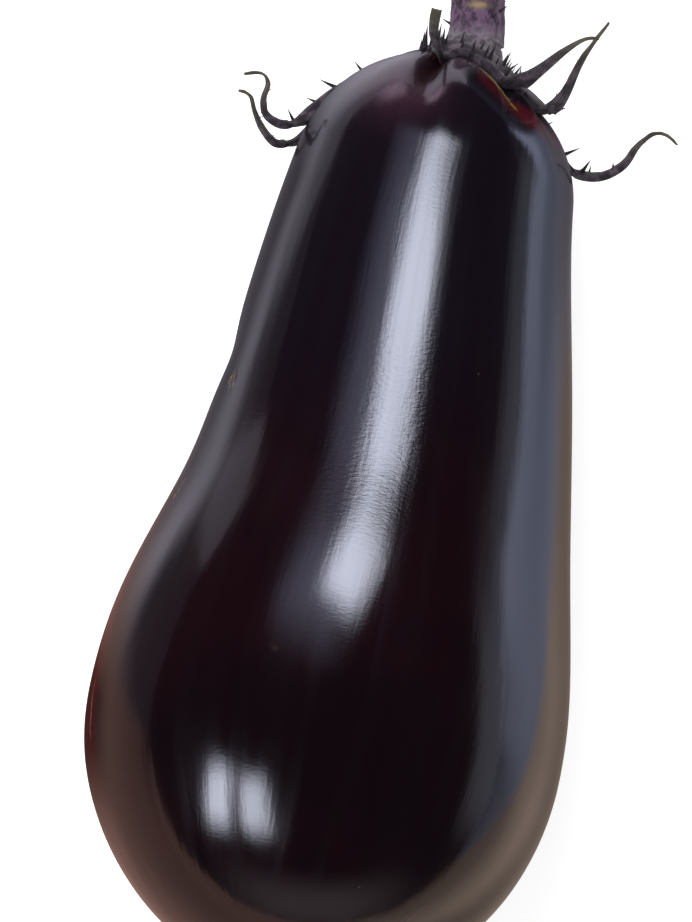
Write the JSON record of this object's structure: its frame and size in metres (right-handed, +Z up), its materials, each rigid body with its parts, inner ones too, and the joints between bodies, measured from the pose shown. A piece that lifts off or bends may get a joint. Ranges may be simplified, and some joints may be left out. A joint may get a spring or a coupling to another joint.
{
  "type": "eggplant",
  "caption": "Ripe purple eggplant lying on its side, a glossy pear-shaped fruit under a prickly calyx with curling lobes and a cut length of stem.",
  "frame": {"origin": "middle of the small flat spot of the belly that the eggplant rests on", "axes": "+Y along the fruit towards the stem, +Z up from the surface it lies on, +X across to the side that the neck leans to"},
  "size_m": [0.1196, 0.2219, 0.0913],
  "materials": {
    "skin": "very glossy near-black purple skin with faint lengthwise streaks and a few corky nicks",
    "calyx": "matt felted dark purple-grey with olive tips and sharp prickles",
    "stem": "matt mauve rind with pale warts, dark streaks and a pale cut end"
  },
  "bodies": {
    "root": {"fruit": "skin", "calyx": "calyx", "stem": "stem"}
  },
  "joints": []
}
